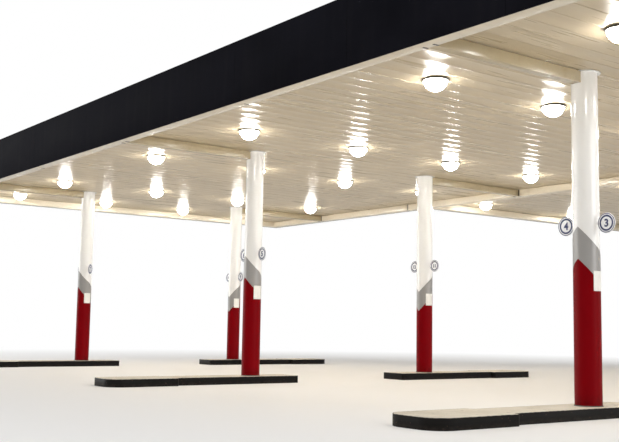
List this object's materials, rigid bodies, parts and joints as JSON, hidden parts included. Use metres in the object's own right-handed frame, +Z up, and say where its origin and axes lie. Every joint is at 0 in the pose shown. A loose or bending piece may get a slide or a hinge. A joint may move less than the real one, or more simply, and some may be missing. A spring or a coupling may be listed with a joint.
{
  "type": "filling station canopy",
  "caption": "Flat canopy on round columns with kerbed islands, drop lamps, a tall dark fascia and a walkway canopy at the back.",
  "frame": {"origin": "middle of the whole plan, at ground level", "axes": "+X along the front edge, to the right seen from the street; +Y from the street to the walkway canopy; +Z up"},
  "size_m": [24.508, 22.6324, 6.1],
  "materials": {
    "column_paint": "gloss white paint on pipe",
    "wrap_red": "gloss dark red",
    "wrap_grey": "satin metallic grey",
    "disc_white": "satin white with a navy ring",
    "kerb_black": "worn black steel",
    "concrete": "trowelled concrete",
    "steelwork": "matt grey primer",
    "deck_enamel": "glossy off-white enamel",
    "gutter_enamel": "satin cream enamel",
    "fascia_black": "smooth satin black panels",
    "lamp_metal": "plain",
    "bezel_dark": "satin bronze",
    "lamp_glass": "lit frosted glass"
  },
  "bodies": {
    "root": {"base_plates": "steelwork", "columns": "column_paint", "cap_plates": "steelwork", "red_wraps": "wrap_red", "grey_wraps": "wrap_grey", "deck_collars": "column_paint", "number_discs": "disc_white", "island_kerbs": "kerb_black", "island_tops": "concrete", "left_main_beam": "steelwork", "middle_main_beam": "steelwork", "right_main_beam": "steelwork", "front_edge_purlins": "steelwork", "front_purlins": "steelwork", "centre_purlins": "steelwork", "back_purlins": "steelwork", "back_edge_purlins": "steelwork", "purlin_clips": "steelwork", "left_deck": "deck_enamel", "middle_deck": "deck_enamel", "right_deck": "deck_enamel", "front_gutter": "gutter_enamel", "back_gutter": "gutter_enamel", "end_channels": "gutter_enamel", "drain_troughs": "gutter_enamel", "front_fascia": "fascia_black", "left_fascia": "fascia_black", "right_fascia": "fascia_black", "back_left_fascia": "fascia_black", "back_right_fascia": "fascia_black", "front_fascia_frame": "steelwork", "end_fascia_frames": "steelwork", "back_fascia_frames": "steelwork", "lamp_cans": "lamp_metal", "lamp_bezels": "bezel_dark", "lamp_bowls": "lamp_glass", "link_beams": "steelwork", "link_purlins": "steelwork", "link_deck": "deck_enamel", "link_end_gutter": "gutter_enamel", "link_edge_channels": "gutter_enamel", "link_side_fascias": "fascia_black", "link_end_fascia": "fascia_black", "link_side_frames": "steelwork", "link_end_frame": "steelwork"}
  },
  "joints": []
}
